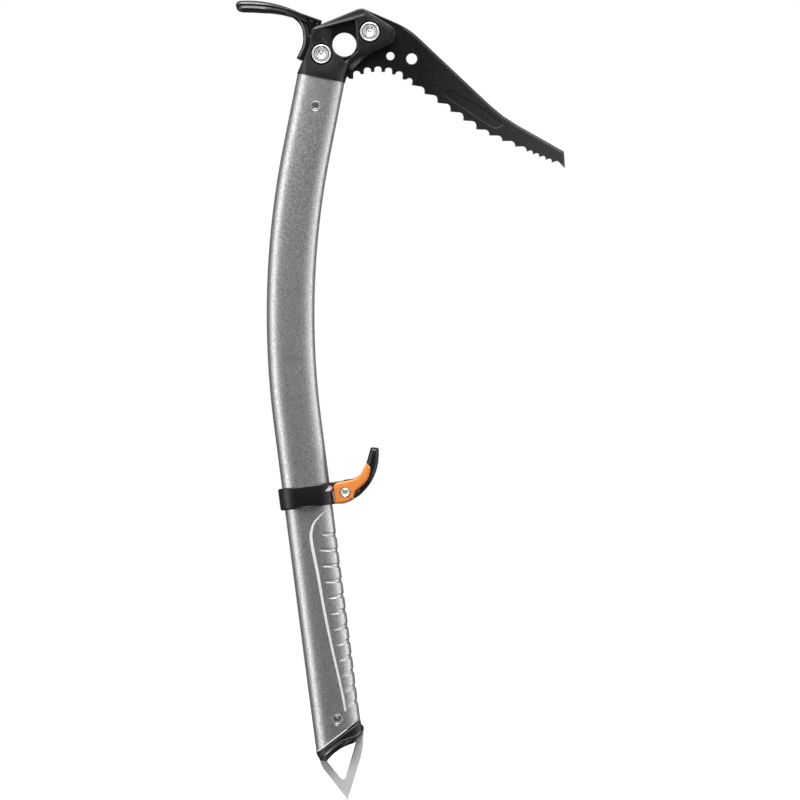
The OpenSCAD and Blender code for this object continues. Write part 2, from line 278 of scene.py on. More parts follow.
def sideways(loop):
    """Unit vectors across a closed loop at each of its points."""
    along = np.roll(loop, -1, axis=0) - np.roll(loop, 1, axis=0)
    across = np.column_stack([-along[:, 1], along[:, 0]])
    return across / np.maximum(np.linalg.norm(across, axis=1), 1e-9)[:, None]


def outward(loop):
    """Unit vectors out of a closed loop at each of its points."""
    normal = sideways(loop)
    return normal * np.where(inside(loop + 0.05 * normal, *ends([loop])), -1, 1)[:, None]


def beside(loops, rows):
    """Points inside closed loops, in rows at some distances from their edges."""
    a, b = ends(loops)
    out = []
    for row in rows:
        for loop in loops:
            for side in (-row, row):
                near = loop + side * sideways(loop)
                out += list(near[inside(near, a, b) & (distance(near, a, b) > 0.92 * row)])
    return out


GRID_CLEAR = 0.45          # of the gap, kept free between the grid and other points
GRID_RISE = 0.866          # of the gap, between the rows of a grid of even triangles


def grid_inside(loops, chains, gap, margin):
    """A grid of points inside loops, a margin and more from their edges, and clear of the chains."""
    a, b = ends(loops)
    low, high = loops[0].min(0), loops[0].max(0)
    columns = np.arange(low[0], high[0], gap)
    levels = np.arange(low[1], high[1], gap * GRID_RISE)
    grid = np.array([(x + gap / 2 * (j % 2), z) for j, z in enumerate(levels) for x in columns])
    keep = inside(grid, a, b) & (distance(grid, a, b) > margin + GRID_CLEAR * gap)
    for chain in chains:
        keep &= line_distance(grid, chain) > GRID_CLEAR * gap
    return list(grid[keep])


def fill(outline, holes, gap, rows, lines):
    """Triangles that fill an outline, with rows of points beside its edges and along the lines.
    Returns the points, the triangles, each loop as indices of its points, and the points' distances
    from the nearest edge."""
    loops = [divide(loop, gap) for loop in (outline, *holes)]
    chains = [divide(line, gap, closed=False) for line in lines]
    points, edges, starts = [], [], []
    for chain, closing in [(loop, 1) for loop in loops] + [(chain, 0) for chain in chains]:
        first, count = len(points), len(chain)
        starts.append(first)
        points += list(chain)
        edges += [(first + k, first + (k + 1) % count) for k in range(count - 1 + closing)]
    points += beside(loops, rows)
    points += grid_inside(loops, chains, gap, max(rows, default=0))
    made = delaunay_2d_cdt([Vector(p) for p in points], edges, [], 0, 1e-5, True)
    flat = np.array([tuple(p) for p in made[0]])
    triangles = np.array([f for f in made[2] if len(f) == 3])
    a, b = ends(loops)
    triangles = triangles[inside(flat[triangles].mean(1), a, b)]
    place = {source: index for index, sources in enumerate(made[3]) for source in sources}
    rims = [[place[first + k] for k in range(len(loop))] for first, loop in zip(starts, loops)]
    return flat, triangles, rims, distance(flat, a, b)


def shell(outline, near, far, holes=(), gap=1.2, rows=(0.15, 0.4), lines=(), seam=None):
    """A closed shell over an outline: near(p, d) and far(p, d) turn the plane's points p, at distance
    d from the nearest edge, into the points of its two faces. seam(p) gives levels for its rim."""
    flat, triangles, rims, d = fill(outline, holes, gap, rows, lines)
    points = list(near(flat, d)) + list(far(flat, d))
    count = len(flat)
    faces = [tuple(t) for t in triangles] + [tuple(t[::-1] + count) for t in triangles]
    for rim in rims:
        levels = [rim]
        for level in (seam(flat[rim]) if seam else []):
            levels.append(list(range(len(points), len(points) + len(rim))))
            points += list(level)
        levels.append([i + count for i in rim])
        for upper, lower in zip(levels, levels[1:]):
            for k in range(len(rim)):
                n = (k + 1) % len(rim)
                faces.append((upper[k], upper[n], lower[n], lower[k]))
    return np.array(points), faces


def plate(outline, height, back=None, **options):
    """A shell in the XZ plane. height(p, d) is how far its near face stands out from the mid plane,
    and back(p, d) how far its far face does, if that isn't the same."""
    back = back or height

    def face(side, rise):
        return lambda p, d: np.column_stack([p[:, 0], side * rise(p, d), p[:, 1]])

    return shell(outline, face(-1, height), face(1, back), **options)


def mirrored(made):
    points, faces = made
    return points * [1, -1, 1], faces


def joined(*shells):
    points, faces = [], []
    for p, f in shells:
        faces += [tuple(i + len(points) for i in face) for face in f]
        points += list(p)
    return np.array(points), faces


def ring_shell(rows, closed=True):
    """A grid of closed rows of points. It is closed on itself, or capped by its first and last rows."""
    rows = np.asarray(rows, float)
    count, width = rows.shape[:2]
    index = np.arange(count * width).reshape(count, width)
    faces = []
    for i in range(count if closed else count - 1):
        a, b = index[i], index[(i + 1) % count]
        faces += [(a[k], a[(k + 1) % width], b[(k + 1) % width], b[k]) for k in range(width)]
    if not closed:
        faces += [tuple(index[0][::-1]), tuple(index[-1])]
    return rows.reshape(-1, 3), [tuple(int(i) for i in f) for f in faces]


def turned(at, profile, side=-1, count=72, ring=False):
    """A turned part about a line along Y: profile is (radius, y), where a radius may be a function of
    the angle. It is capped at both ends, or closed on itself as a ring. side is -1 towards the camera."""
    angles = np.arange(count) * 2 * math.pi / count
    rows = []
    for radius, y in profile:
        r = np.array([radius(t) if callable(radius) else radius for t in angles])
        rows.append(np.column_stack([at[0] + r * np.cos(angles), np.full(count, side * y),
                                     at[1] + r * np.sin(angles)]))
    return ring_shell(rows, closed=ring)


def hexagon(apothem):
    """The radius of a hexagon, by angle."""
    return lambda t: apothem / math.cos((t % (math.pi / 3)) - math.pi / 6)


# ---- materials ----

def grey(value):
    return (value,) * 3


class Paint:
    """A Principled material and short ways to add nodes to it."""

    def __init__(self, name, colour, metallic=0.0, roughness=0.4, **sockets):
        self.material = bpy.data.materials.new(name)
        self.material.use_nodes = True
        self.tree = self.material.node_tree
        self.shader = self.tree.nodes["Principled BSDF"]
        self.shader.inputs["Base Color"].default_value = (*colour, 1)
        self.shader.inputs["Metallic"].default_value = metallic
        self.shader.inputs["Roughness"].default_value = roughness
        for socket, value in sockets.items():
            self.shader.inputs[socket.replace("_", " ")].default_value = value
        self.place = self.node("ShaderNodeTexCoord").outputs["Object"]

    def node(self, kind, **values):
        made = self.tree.nodes.new(kind)
        for key, value in values.items():
            if key in made.inputs:
                made.inputs[key].default_value = value
            else:
                setattr(made, key, value)
        return made

    def link(self, source, target):
        self.tree.links.new(source, target)

    def noise(self, size_mm, detail=2.0, rough=0.5, stretch=(1, 1, 1)):
        """Noise whose features are about size_mm across."""
        place = self.place
        if stretch != (1, 1, 1):
            mapping = self.node("ShaderNodeMapping")
            mapping.inputs["Scale"].default_value = stretch
            self.link(self.place, mapping.inputs["Vector"])
            place = mapping.outputs["Vector"]
        made = self.node("ShaderNodeTexNoise", Scale=1 / (size_mm * MM), Detail=detail, Roughness=rough)
        self.link(place, made.inputs["Vector"])
        return made.outputs["Fac"]

    def spread(self, source, low, high, start=0.3, stop=0.7):
        """source, from start to stop, turned into low to high."""
        made = self.node("ShaderNodeMapRange")
        for key, value in (("From Min", start), ("From Max", stop), ("To Min", low), ("To Max", high)):
            made.inputs[key].default_value = value
        self.link(source, made.inputs["Value"])
        return made.outputs["Result"]

    def blend(self, factor, first, second):
        """A colour between two, by a factor. Each is a colour or a socket."""
        made = self.node("ShaderNodeMix", data_type="RGBA")
        for socket, value in ((made.inputs[6], first), (made.inputs[7], second)):
            if isinstance(value, tuple):
                socket.default_value = (*value, 1)
            else:
                self.link(value, socket)
        self.link(factor, made.inputs["Factor"])
        return made.outputs[2]

    def mottle(self, size_mm, first, second, detail=2.0, rough=0.5):
        """A colour that wanders between two, in patches of about size_mm."""
        return self.blend(self.spread(self.noise(size_mm, detail, rough), 0, 1), first, second)

    def coordinate(self, axis):
        split = self.node("ShaderNodeSeparateXYZ")
        self.link(self.place, split.inputs["Vector"])
        return split.outputs[axis]

    def from_middle(self):
        """Distance from the axe's mid plane, in metres."""
        out = self.node("ShaderNodeMath", operation="ABSOLUTE")
        self.link(self.coordinate("Y"), out.inputs[0])
        return out.outputs[0]

    def colour(self, source):
        self.link(source, self.shader.inputs["Base Color"])

    def roughness(self, size_mm, low, high, detail=3.0):
        """Roughness that wanders from low to high, in patches of about size_mm."""
        self.link(self.spread(self.noise(size_mm, detail), low, high), self.shader.inputs["Roughness"])

    def bump(self, source, depth_mm, previous=None):
        made = self.node("ShaderNodeBump", Strength=1.0, Distance=depth_mm * MM)
        self.link(source, made.inputs["Height"])
        if previous:
            self.link(previous, made.inputs["Normal"])
        self.link(made.outputs["Normal"], self.shader.inputs["Normal"])
        return made.outputs["Normal"]

    def edges(self, start=0.52, stop=0.6):
        """1 on sharp convex edges, for wear."""
        return self.spread(self.node("ShaderNodeNewGeometry").outputs["Pointiness"], 0, 1, start, stop)


def shaft_metal():
    """Blasted and anodised aluminium, with a close grain."""
    p = Paint("shaft_metal", (0.6, 0.6, 0.61), metallic=1.0, roughness=0.43)
    grain = p.spread(p.noise(0.85, 2.0, 0.6), 0, 1, 0.36, 0.64)
    p.colour(p.blend(grain, (0.42, 0.42, 0.43), (0.7, 0.7, 0.705)))
    p.roughness(1.3, 0.38, 0.48, 2.0)
    p.bump(p.noise(9, 2.0), 0.03, p.bump(p.noise(0.8, 3.0, 0.7), 0.02))
    return p.material


def forged_black():
    """A satin coat, worn on its edges, with painted shade: the deeper a face is sunk towards the mid
    plane, as on the pocket's floor, the blacker it is.
    """
    p = Paint("forged_black", (0.012, 0.012, 0.013), roughness=0.45, Specular_IOR_Level=0.4)
    coat = p.mottle(6, (0.009, 0.009, 0.010), (0.016, 0.016, 0.017), 3.0)
    # Painted shade: faces sunk towards the mid plane (the pocket's floor, the bolt seats, the bore and
    # the slots) fade to near black.
    floor = p.spread(p.from_middle(), 1, 0, (HEAD_HALF - POCKET_DEPTH) * MM, (HEAD_HALF - 1.6) * MM)
    p.colour(p.blend(floor, p.blend(p.edges(), coat, (0.05, 0.05, 0.052)), grey(0.002)))
    p.roughness(1.5, 0.28, 0.4)
    p.bump(p.noise(0.6, 3.0, 0.6), 0.012)
    return p.material


def pick_steel():
    """Black oxide at the head, rubbed thin towards the tip."""
    p = Paint("pick_steel", grey(0.005), roughness=0.4, Specular_IOR_Level=0.35)
    along = p.spread(p.coordinate("X"), 0, 1, 50 * MM, 140 * MM)
    coat = p.blend(along, grey(0.003), (0.032, 0.032, 0.033))
    p.colour(p.blend(p.edges(), coat, grey(0.14)))
    p.roughness(2.0, 0.3, 0.48)
    p.bump(p.noise(0.7, 3.0, 0.6), 0.012)
    return p.material


def adze_black():
    """Glossy black paint, a little uneven over the forging."""
    p = Paint("adze_black", grey(0.004), roughness=0.2)
    p.colour(p.mottle(5, grey(0.003), grey(0.006)))
    p.roughness(1.6, 0.1, 0.2)
    p.bump(p.noise(2.5, 2.0), 0.005)
    return p.material


PAINTED_GROOVE_SHADE = 0.2         # of the painted shade in a turned groove, against the unshaded steel
SHADE_TOP = BOLT_FACE - 0.35  # distances from the mid plane between which the painted shade lies
SHADE_FLOOR = BOLT_FACE - 0.9
SHADE_FADE = 0.15           # the depth over which it begins and ends


def bright_steel(name, shade, metallic, rough):
    """Turned or ground steel. shade is its grey, and painted shade darkens its grooves."""
    p = Paint(name, (shade, shade, shade * 0.99), metallic=metallic, roughness=rough)
    steel = p.mottle(1.2, grey(shade * 0.8), grey(min(shade * 1.12, 1)), 4.0, 0.7)
    # Painted shade: a band of depths just under the face, where the grooves and the socket lie, is
    # darkened.
    out = p.from_middle()
    above_groove = p.spread(out, 0, 1, (SHADE_TOP - SHADE_FADE) * MM, SHADE_TOP * MM)
    below_groove = p.spread(out, 1, 0, SHADE_FLOOR * MM, (SHADE_FLOOR + SHADE_FADE) * MM)
    unshaded = p.node("ShaderNodeMath", operation="MAXIMUM")
    p.link(above_groove, unshaded.inputs[0])
    p.link(below_groove, unshaded.inputs[1])
    p.colour(p.blend(unshaded.outputs[0], grey(shade * PAINTED_GROOVE_SHADE), steel))
    p.roughness(0.8, rough * 0.8, rough * 1.3)
    p.bump(p.noise(0.35, 2.0), 0.006)
    return p.material


def spike_steel():
    """Stainless plate, blasted to an even pale grey."""
    p = Paint("spike_steel", grey(0.88), roughness=0.5)
    brushed = p.noise(0.5, 3.0, 0.6, stretch=(1, 1, 0.2))
    p.colour(p.blend(p.spread(brushed, 0, 1), grey(0.84), grey(0.91)))
    p.roughness(1.5, 0.42, 0.55, 2.0)
    p.bump(brushed, 0.006)
    return p.material


def moulded(name, colour, rough):
    """Moulded plastic with a fine spark-eroded skin and scuffed edges."""
    p = Paint(name, colour, roughness=rough)
    lighter = tuple(min(c * 1.25 + 0.01, 1) for c in colour)
    patches = p.mottle(8, tuple(c * 0.9 for c in colour), colour)
    p.colour(p.blend(p.edges(0.53, 0.62), patches, lighter))
    p.roughness(1.2, rough * 0.85, rough * 1.2, 2.0)
    p.bump(p.noise(0.45, 2.0, 0.6), 0.012)
    return p.material


def rim_highlight_paint():
    """A painted highlight: pale, barely metallic grey for the light along the tube's cut edge, paler than
    the coat beside it.
    """
    p = Paint("rim_highlight_paint", grey(0.9), metallic=0.1, roughness=0.4)
    p.colour(p.mottle(0.8, grey(0.85), grey(0.95)))
    p.bump(p.noise(0.4, 2.0), 0.006)
    return p.material


def line_paint():
    """White paint, a little thin in places."""
    p = Paint("line_paint", grey(0.85), roughness=0.5)
    p.colour(p.mottle(1.5, grey(0.8), grey(0.9), 3.0))
    p.bump(p.noise(0.5), 0.01)
    return p.material


MATERIALS = {
    "shaft_metal": shaft_metal(),
    "forged_black": forged_black(),
    "pick_steel": pick_steel(),
    "adze_black": adze_black(),
    "bolt_steel": bright_steel("bolt_steel", 0.9, 0.45, 0.28),
    "rivet_steel": bright_steel("rivet_steel", 0.42, 0.7, 0.34),
    "spike_steel": spike_steel(),
    "black_plastic": moulded("black_plastic", (0.005, 0.005, 0.0055), 0.34),
    "orange_plastic": moulded("orange_plastic", (0.93, 0.29, 0.06), 0.42),
    "pale_plastic": moulded("pale_plastic", (0.66, 0.63, 0.67), 0.4),
}


def add_piece(name, made, slot, body, nodes=(), sharp=30, material=None):
    """Makes the mesh, gives it its finish, and hangs it on its body in place of its CAD nodes."""
    points, faces = made
    mesh = bpy.data.meshes.new(name)
    mesh.from_pydata((np.asarray(points) * MM).tolist(), [], [tuple(int(i) for i in f) for f in faces])
    work = bmesh.new()
    work.from_mesh(mesh)
    bmesh.ops.remove_doubles(work, verts=work.verts, dist=0.002 * MM)
    bmesh.ops.recalc_face_normals(work, faces=work.faces)
    work.to_mesh(mesh)
    work.free()
    mesh.shade_smooth()
    mesh.set_sharp_from_angle(angle=math.radians(sharp))
    piece = bpy.data.objects.new(name, mesh)
    bpy.context.scene.collection.objects.link(piece)
    mesh.materials.append(material or MATERIALS[slot])
    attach(piece, body)
    if nodes:
        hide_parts(*nodes)
    return piece


# ---- shaft ----

def oval_points(angles, grow):
    """Points of the tube's section, as (forward, sideways), grown by a distance."""
    ways = np.column_stack([np.cos(angles), np.sin(angles)])
    return [HALF_DEPTH + grow, HALF_WIDTH + grow] * np.sign(ways) * np.abs(ways) ** (2 / OVAL_POWER)


def oval(grow=0.0, count=120):
    """The tube's section, with close points where its sides are flat."""
    a = np.arange(count) * 2 * math.pi / count
    return oval_points(a - 0.12 * np.sin(2 * a), grow)


def oval_side(forward, grow=0.0):
    """Half the width of the oval at a distance forward of its axis."""
    share = np.clip(np.abs(forward) / (HALF_DEPTH + grow), 0, 1)
    return (HALF_WIDTH + grow) * (1 - share ** OVAL_POWER) ** (1 / OVAL_POWER)


def along_shaft(down, forward):
    """Row-frame (x, z) at a distance down from the bend's lower end, and forward of the axis.
    Above the grip, down is negative, along the arc and then up the neck."""
    down, forward = np.broadcast_arrays(np.asarray(down, float), np.asarray(forward, float))
    bend = BEND_RADIUS * (HEAD_TILT + GRIP_TILT)
    angle = np.clip(down / BEND_RADIUS + GRIP_TILT, -HEAD_TILT, GRIP_TILT)
    rest = np.where(down > 0, down, np.minimum(down + bend, 0))
    x = BEND_CENTRE[0] - (BEND_RADIUS - forward) * np.cos(angle) + rest * np.sin(angle)
    z = BEND_CENTRE[1] - (BEND_RADIUS - forward) * np.sin(angle) - rest * np.cos(angle)
    return x, z


def grooved(down, forward):
    """Depth of the grooves there."""
    depth = np.zeros(np.shape(down))
    for i in range(GROOVES):
        end = GROOVE_ENDS[0] if i == 0 else GROOVE_ENDS[1] + GROOVE_END_STEP * (i - 1)
        slant = GROOVE_SLANT[0] + GROOVE_SLANT[1] * i
        middle = FIRST_GROOVE + GROOVE_PITCH * i - slant * (HALF_DEPTH - forward)
        share = np.clip((forward - end) / (HALF_DEPTH - end), 0, 1)
        half = GROOVE_HALF[0] + (GROOVE_HALF[1] - GROOVE_HALF[0]) * share
        deep = GROOVE_DEPTH[0] + (GROOVE_DEPTH[1] - GROOVE_DEPTH[0]) * share
        away = np.hypot(np.maximum(end + half - forward, 0), down - middle)
        depth = np.maximum(depth, deep * step((half - away) / GROOVE_EDGE + 0.1))
    return depth


def on_grip(down, forward, side):
    """A point at (down, forward, side), in the row frame."""
    x, z = along_shaft(down, forward)
    return np.column_stack([x, np.broadcast_to(side, x.shape), z])


ROW_GAPS = (2.5, 0.36)     # between the shaft's rows of points: above the grooves, and over them


def shaft_rows():
    """Distances down of the rows of points, from the head's seam to just below the grooves."""
    top = -BEND_RADIUS * (HEAD_TILT + GRIP_TILT) - NECK_LENGTH
    start = FIRST_GROOVE - 6
    return np.concatenate([np.arange(top, start, ROW_GAPS[0]),
                           np.arange(start, start + GROOVES * GROOVE_PITCH + 3, ROW_GAPS[1])])


def out_of_oval(section):
    return unit_rows(section / [HALF_DEPTH ** 2, HALF_WIDTH ** 2])


def cut_level(section):
    """How far down the grip the slanted cut is, at each point of a section."""
    return CUT_DISTANCE - section[:, 0] * CUT_SLOPE


def shaft():
    """The hollow tube: rows down its grooved outside to the cut, and back up its bore."""
    section, inner = oval(), oval(-WALL)
    out = out_of_oval(section)
    downs = list(shaft_rows())
    rows = []
    for down in downs:
        depth = grooved(np.full(len(section), down), section[:, 0])
        rows.append(on_grip(down, *(section - out * depth[:, None]).T))
    left = cut_level(section) - CUT_CHAMFER - downs[-1]
    rows += [on_grip(downs[-1] + left * share, *section.T) for share in np.linspace(0.12, 1, 8)]
    rows.append(on_grip(cut_level(section), *(section - out * CUT_CHAMFER).T))
    for down in (cut_level(inner), *downs[::-25], downs[0]):
        rows.append(on_grip(down, *inner.T))
    hole = [(RIVET_RADIUS + 0.05, -FAR), (RIVET_RADIUS + 0.05, FAR)]
    return carved(ring_shell(rows), [turned(at, hole) for at in (HEAD_RIVET, SPIKE_RIVET)])


def cut_rim():
    """A painted highlight along the tube's slanted end: a pale ring a twentieth of a millimetre proud."""
    section = oval()
    profile = [  # as (up, out)
        (RIM_HEIGHT, -0.5), (RIM_HEIGHT, 0), (RIM_HEIGHT - 0.1, 0.05), (0.05, 0.05), (-0.05, -0.1),
        (-0.05, -0.5)
    ]
    return ring_shell([on_grip(cut_level(section) - up, *(section + out_of_oval(section) * out).T)
                       for up, out in profile])


LINE_POINTS = [  # of the painted line, as (down, forward)
    (59.7, 12.9), (61.6, 9.2), (63.9, 6.0), (67.5, 2.3), (73.5, -0.4), (81.2, -0.95), (100.8, 0.4),
    (128.3, 1.7), (155.9, 3.9), (177.5, 6.0), (192.7, 6.9)
]
LINE_HALF = ([59, 64, 70, 78, 130, 190], [0.3, 0.45, 0.75, 1.0, 0.85, 0.7])  # down, and half width there


def grip_line():
    """A painted line that follows the grip's side: a strip a twentieth of a millimetre proud."""
    middle = smooth_line(LINE_POINTS, 12)
    along = unit_rows(np.gradient(middle, axis=0))
    across = np.column_stack([-along[:, 1], along[:, 0]])
    rows = []
    for spot, aside in zip(middle, across):
        half = np.interp(spot[0], *LINE_HALF)
        downs, forwards = np.array([spot + aside * half * t for t in (-1, -0.5, 0, 0.5, 1)]).T
        side = oval_side(forwards)
        outer = on_grip(downs, forwards, -(side + [0, 0.05, 0.05, 0.05, 0]))
        inner = on_grip(downs[::-1], forwards[::-1], -(side[::-1] - 0.2))
        rows.append(np.vstack([outer, inner]))
    return ring_shell(rows, closed=False)


# ---- head ----

HEAD_OUTLINE = [
    (-31.05, -18.95), (-24.3, -3, 40), (-21.3, 10.9, 5), (11.4, 24.3, 6.5), (34.8, 9.7, 6),
    (31.6, 0.6, 3), (16.5, -6.6, 20), (1.4, -21.2, 6), (0.5, -25.15)
]
NOSE_EDGE = [(11.4, 24.2), (34.8, 9.7, 6), (31.6, 0.6, 3), (16.5, -6.6, 20), (1.4, -21.2)]
BACK_EDGE = [(-33, -24), (-24.3, -3), (-20.9, 9.5)]
TOP_RIDGE = [(-20.0, 9.8), (5.7, 16.9)]
BEVEL_WIDTH = 1.3          # of the light bevel above the ridge
BEVEL_SLOPES = (0.46, 0.12)  # of the bevel, and of the face beyond it
FACET = (3.6, 0.24)        # width and slope of the facets round the nose
BACK_CHAMFER = (1.2, 0.66)  # width and slope
HEAD_BLEND = 24.0          # length over which the head turns into the tube's oval
POCKET_SIDES = [  # from, to, width of the wall; the pocket lies to the left of each
    ((-15.0, 4.0), (0.4, -12.4), 1.0), ((0.4, -12.6), (9.5, -4.6), 1.3), ((9.4, -4.6), (7.9, 16.8), 1.1),
    ((7.7, 16.6), (-15.2, 10.8), 0.8), ((-15.6, 11.0), (-15.0, 3.0), 7.0)
]
POCKET_CHAMFER = 0.65      # share of a narrow wall's width


def pocket_share(p):
    """1 on the pocket's floor and 0 outside it. The narrow walls have a chamfer at the mouth."""
    shares = []
    for a, b, width in POCKET_SIDES:
        share = np.clip(beyond(p, a, b) / width, 0, 1)
        shares.append(np.interp(share, [0, POCKET_CHAMFER, 1], [0, 0.2, 1]) if width < 2 else share)
    return np.minimum.reduce(shares)


def corners(sides):
    """Where each side's line meets the next one."""
    out = []
    for (a, b), (c, d) in zip(sides, sides[1:] + sides[:1]):
        a, b, c, d = (np.array(v, float) for v in (a, b, c, d))
        grid = np.column_stack([b - a, c - d])
        share = np.linalg.solve(grid, c - a)[0]
        out.append(a + share * (b - a))
    return out


def pocket_line(inset):
    """The outline of the pocket's mouth at inset 0, and of its floor at inset 1."""
    moved = []
    for a, b, width in POCKET_SIDES:
        move = leftward(a, b) * width * inset
        moved.append((a + move, b + move))
    return looped(corners(moved))


def head_height(p, d):
    """Half the head's thickness: facets round a flat middle, running into the tube's oval."""
    nose = rounded([(0, 40), *NOSE_EDGE, (1.4, -40)])[1:-1]
    away = line_distance(p, nose)
    above = beyond(p, *TOP_RIDGE)
    bevel = (BEVEL_SLOPES[0] * np.clip(above, 0, BEVEL_WIDTH)
             + BEVEL_SLOPES[1] * np.maximum(above - BEVEL_WIDTH, 0))
    flat = HEAD_HALF - np.maximum(bevel, FACET[1] * np.maximum(FACET[0] - away, 0))
    flat -= BACK_CHAMFER[1] * np.maximum(BACK_CHAMFER[0] - line_distance(p, BACK_EDGE), 0)
    flat = np.maximum(flat, 3.2)
    neck = np.array([math.sin(HEAD_TILT), math.cos(HEAD_TILT)])
    seam = NECK_START + neck * NECK_LENGTH
    up = (p - seam) @ neck
    forward = (p - seam) @ np.array([neck[1], -neck[0]])
    tube = oval_side(forward, 0.55)
    height = flat + (tube - flat) * step(1 - (up - 0.5) / HEAD_BLEND)
    height = height - round_drop(d, 0.8) * step(up / 3)
    height = height - POCKET_DEPTH * pocket_share(p)
    for bolt in (FRONT_BOLT, REAR_BOLT):
        radius = np.hypot(*(p - bolt).T)
        height = np.where(radius < SEAT_RADIUS - 0.02, BOLT_FACE - BOLT_THICK - 0.05, height)
    return height


def head_seam(p):
    """Levels of the head's rim: the slots for the pick and the adze show as a fine gap."""
    height = head_height(p, np.zeros(len(p)))
    slot = PICK_HALF + SEAM_GAP
    front = (p[:, 0] > 12) & (p[:, 1] > -20)  # where the pick's slot opens
    rear = (p[:, 0] < -15) & (p[:, 1] > -14)  # where the adze's does
    depth = np.where((front | rear) & (height > slot + 1), 0.7, 0.0)
    sunk = p - outward(p) * depth[:, None]

    def level(at, y):
        return np.column_stack([at[:, 0], y, at[:, 1]])

    wide = np.minimum(height * 0.9, slot + 0.35)
    narrow = np.minimum(height * 0.8, slot)
    return [level(p, -wide), level(sunk, -narrow), level(sunk, narrow), level(p, wide)]


def head_block():
    lines = [pocket_line(0), pocket_line(POCKET_CHAMFER), pocket_line(1), TOP_RIDGE]
    lines += [looped(circle(bolt, radius)) for bolt in (FRONT_BOLT, REAR_BOLT)
              for radius in (SEAT_RADIUS, SEAT_RADIUS - 0.06)]
    return plate(rounded(HEAD_OUTLINE), head_height, holes=[circle((0, 0), HOLE_RADIUS, 72)], gap=0.8,
                 rows=(0.1, 0.3, 0.7, 1.2, 2.4, 3.6), lines=lines, seam=head_seam)


# ---- pick ----

TIP_START = (44.2, -26.6)
TIP_KNEE = (88.0, -56.6)
PICK_TIP = (145.2, -81.3)
LARGE_TEETH, LARGE_PITCH = 9, 8.51
SMALL_TEETH, SMALL_START, SMALL_PITCH = 5, 119.9, 4.15
ARCH_APEX, ARCH_RADIUS = (21.8, -17.8), 33.0
NOTCHES, NOTCH_START, NOTCH_PITCH = 6, 8.2, 6.95
BOSS_RADIUS = 10.35
TOP_EDGE = [(11.8, 24.1), (42.3, 10.7, 45), (103.7, -47.2, 90), (144.5, -70.3)]


def tip_height(x):
    """Height of the line that the teeth's points lie on."""
    a, b = (TIP_START, TIP_KNEE) if x < TIP_KNEE[0] else (TIP_KNEE, PICK_TIP)
    return a[1] + (b[1] - a[1]) / (b[0] - a[0]) * (x - a[0])


def arch_height(x):
    """Height of the arch that the finger notches lie on."""
    return ARCH_APEX[1] - ARCH_RADIUS + math.sqrt(ARCH_RADIUS ** 2 - (x - ARCH_APEX[0]) ** 2)


def pick_outline():
    """From the top of the head round the tip and back along the teeth to the finger notches."""
    spots = [(6.5, 21.9), (*TOP_EDGE[0], 3), *TOP_EDGE[1:3], (*TOP_EDGE[3], 0.6), PICK_TIP]
    small = [SMALL_START + SMALL_PITCH * i for i in range(SMALL_TEETH + 1)]
    for i in reversed(range(SMALL_TEETH)):
        spots += [(small[i + 1] - 0.4, tip_height(small[i]) + 1.2, 1.3), (small[i], tip_height(small[i]))]
    large = [TIP_START[0] + LARGE_PITCH * i for i in range(LARGE_TEETH)] + [SMALL_START]
    for i in reversed(range(LARGE_TEETH)):
        tip = tip_height(large[i])
        spots += [(large[i + 1], tip - 1.3 + 0.2 * i, 2.9), (large[i], tip)]
    for i in reversed(range(NOTCHES)):
        x = NOTCH_START + NOTCH_PITCH * i
        top, tooth = arch_height(x) + 3.4, x - NOTCH_PITCH / 2
        spots += [(x + 2.3, top, 1.9), (x - 2.3, top, 1.9),
                  (tooth + 1.2, arch_height(tooth), 0.5), (tooth - 1.2, arch_height(tooth), 0.5)]
    return spots + [(1.4, -20.6), (-3, -19.7, 2), *arc((0, 0), BOSS_RADIUS, -100, 66, 24)]


PANEL = [
    (64.6, -32.6, 1.2), (70.5, -29.6, 2), (89.2, -40.6, 40), (105.6, -52.6, 1.5), (99.4, -55.4, 4),
    (94.0, -52.4, 30)
]
PANEL_EDGE = 0.5           # width of the slope round the panel
PANEL_DEPTH = 0.45
PICK_HOLES = [((30.3, -7.5), 2.65, 40), ((44.3, -9.3), 3.55, 48)]  # middle, radius, sides
PICK_CHAMFER = (1.5, 0.75)  # width and slope, along its back outside the head
TIP_CHAMFER = (1.3, 0.7)   # width and slope, down its blunt end


def panel_share(p):
    """1 on the panel's floor and 0 outside it."""
    return np.clip(depth_inside(p, rounded(PANEL)) / PANEL_EDGE + 0.5, 0, 1)


def pick_height(p, d):
    """Half the pick's thickness: a chamfer along its back, a sunk panel and rounded teeth."""
    back = rounded([(0, 40), *TOP_EDGE, (160, -90)])[1:-1]
    from_back = line_distance(p, back)
    outside_head = step((p[:, 0] - 36) / 6)
    height = np.full(len(p), PICK_HALF)
    height -= PICK_CHAMFER[1] * np.maximum(PICK_CHAMFER[0] - from_back, 0) * outside_head
    from_end = line_distance(p, [TOP_EDGE[-1], PICK_TIP])
    height = np.minimum(height, PICK_HALF - TIP_CHAMFER[1] * np.maximum(TIP_CHAMFER[0] - from_end, 0))
    height -= round_drop(d, 0.4)
    return height - PANEL_DEPTH * panel_share(p)


def pick():
    panel = rounded(PANEL)
    border = [looped(panel + side * PANEL_EDGE / 2 * sideways(panel)) for side in (-1, 1)]
    return plate(rounded(pick_outline()), pick_height, holes=[circle(*hole) for hole in PICK_HOLES],
                 gap=0.9, rows=(0.12, 0.4, 0.9, 1.5), lines=border)


# ---- adze ----

BLADE_CENTRE = (-64.0, -51.0)
BLADE_RADIUS = 80.0
DISH_RADIUS = 66.0
BLADE_THICK = 3.6
ADZE_HALF = 22.0
EDGE_RADIUS = 200.0
EDGE_FRONT = -71.5


def bow_at(across):
    """Where the bowed cutting edge is, at a distance across from its middle."""
    return EDGE_RADIUS + EDGE_FRONT - np.sqrt(EDGE_RADIUS ** 2 - across ** 2)


